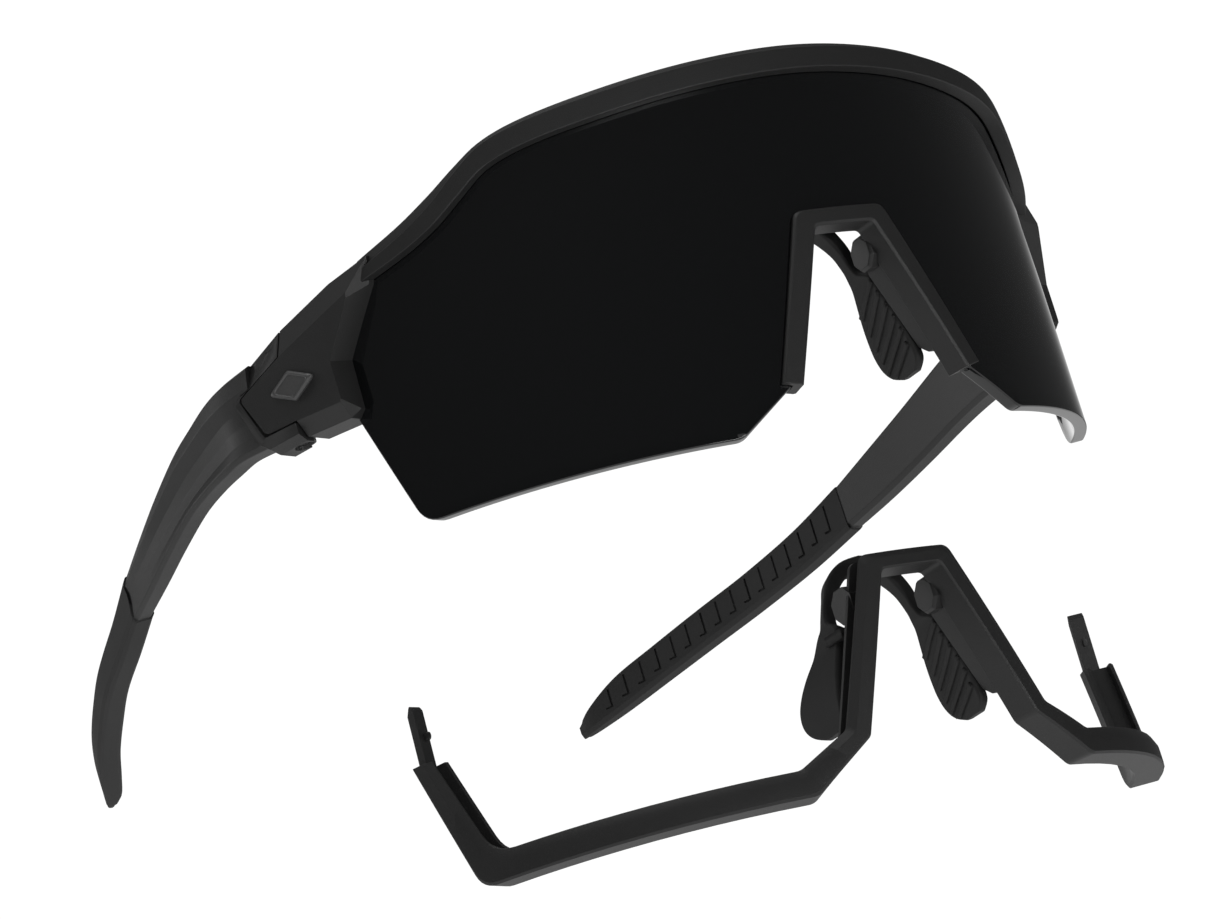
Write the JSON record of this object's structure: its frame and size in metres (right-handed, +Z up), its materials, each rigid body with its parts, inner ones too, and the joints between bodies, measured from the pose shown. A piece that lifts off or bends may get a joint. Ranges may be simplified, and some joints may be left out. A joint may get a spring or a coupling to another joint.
{
  "type": "wraparound sport sunglasses",
  "caption": "Half-frame wraparound sport sunglasses with one shield lens, folding temples, a clip-in nose bracket and a spare lower rim held out below it.",
  "frame": {"origin": "middle plane, on the lens's outer face at the top of the nose notch, where the glasses sit on the bridge of the nose", "axes": "-Y is the way the wearer looks, +Z is up along the lens, +X is the wearer's left"},
  "size_m": [0.1408, 0.1664, 0.1046],
  "materials": {
    "frame_plastic": "matte black moulded plastic with a fine grain",
    "lens": "near-black glossy shield",
    "badge": "satin dark grey",
    "rubber": "soft matte black rubber",
    "brass": "turned brass",
    "screw_steel": "blackened steel"
  },
  "bodies": {
    "front": {"front_frame": "frame_plastic", "shield_lens": "lens", "badge_left": "badge", "badge_right": "badge"},
    "temple_left": {"temple_arm_left": "frame_plastic", "temple_sleeve_left": "rubber", "hinge_screw_left": "screw_steel", "hinge_nut_left": "brass"},
    "temple_right": {"temple_arm_right": "frame_plastic", "temple_sleeve_right": "rubber", "hinge_screw_right": "screw_steel", "hinge_nut_right": "brass"},
    "nose_clip": {"nose_bracket": "frame_plastic", "nose_saddle": "rubber"},
    "rim": {"lower_rim": "frame_plastic", "rim_nose_saddle": "rubber"}
  },
  "joints": [
    {"name": "temple_fold_left", "type": "hinge", "parent": "front", "child": "temple_left", "pos_m": [0.06385, 0.04963, 0], "axis": [0, 0, 1], "range_deg": [0, 84]},
    {"name": "temple_fold_right", "type": "hinge", "parent": "front", "child": "temple_right", "pos_m": [-0.06385, 0.04963, 0], "axis": [0, 0, -1], "range_deg": [0, 76]},
    {"name": "nose_clip_release", "type": "slide", "parent": "front", "child": "nose_clip", "axis": [0, 0, -1], "range_m": [0, 0.012]},
    {"name": "rim_offer_up", "type": "slide", "parent": "front", "child": "rim", "axis": [0, -0.2028, 0.9792], "range_m": [0, 0.022]}
  ]
}
